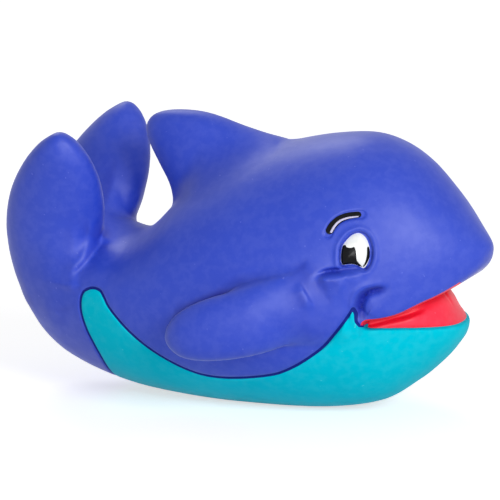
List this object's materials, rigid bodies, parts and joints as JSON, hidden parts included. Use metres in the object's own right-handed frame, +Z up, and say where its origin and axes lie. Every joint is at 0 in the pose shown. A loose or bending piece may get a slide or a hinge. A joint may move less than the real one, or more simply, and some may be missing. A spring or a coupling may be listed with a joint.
{
  "type": "squeaky bath toy",
  "caption": "Soft hollow vinyl whale that floats and squeaks: raised tail flukes, dorsal fin, two flippers, open smiling mouth, squeaker plug in the belly, back that squeezes down.",
  "frame": {"origin": "middle of the bounding box in plan, on the surface that the toy rests on", "axes": "+X towards the snout, +Y towards the whale's left side, +Z up"},
  "size_m": [0.125, 0.0756, 0.072],
  "materials": {
    "blue_vinyl": "soft satin cast vinyl",
    "teal_vinyl": "soft satin cast vinyl",
    "red_vinyl": "soft satin cast vinyl",
    "white_coat": "glossy paint",
    "black_coat": "glossy paint",
    "lilac_coat": "glossy paint",
    "squeaker_plastic": "moulded plastic",
    "reed_plastic": "thin translucent film"
  },
  "bodies": {
    "base": {"belly_skin": "teal_vinyl", "mouth_lining": "red_vinyl", "squeaker_neck": "teal_vinyl", "squeaker_case": "squeaker_plastic", "reed_seat": "squeaker_plastic", "reed_clip": "squeaker_plastic", "squeaker_cap": "squeaker_plastic"},
    "back": {"back_skin": "blue_vinyl", "right_eye_white": "white_coat", "left_eye_white": "white_coat", "right_pupil": "black_coat", "left_pupil": "black_coat", "right_eye_glint": "white_coat", "left_eye_glint": "white_coat", "right_eye_outline": "black_coat", "left_eye_outline": "black_coat", "right_eyebrow": "black_coat", "left_eyebrow": "black_coat", "right_eyebrow_line": "lilac_coat", "left_eyebrow_line": "lilac_coat"},
    "reed": {"reed": "reed_plastic"}
  },
  "joints": [
    {"name": "squeeze", "type": "slide", "parent": "base", "child": "back", "axis": [0, 0, -1], "range_m": [0, 0.004], "stiffness_N_per_m": 900, "springref_m": -0.0015},
    {"name": "reed_flex", "type": "hinge", "parent": "base", "child": "reed", "pos_m": [0.00017, 0, 0.00595], "axis": [0, 1, 0], "range_deg": [-3, 3], "stiffness_Nm_per_rad": 0.0003}
  ]
}
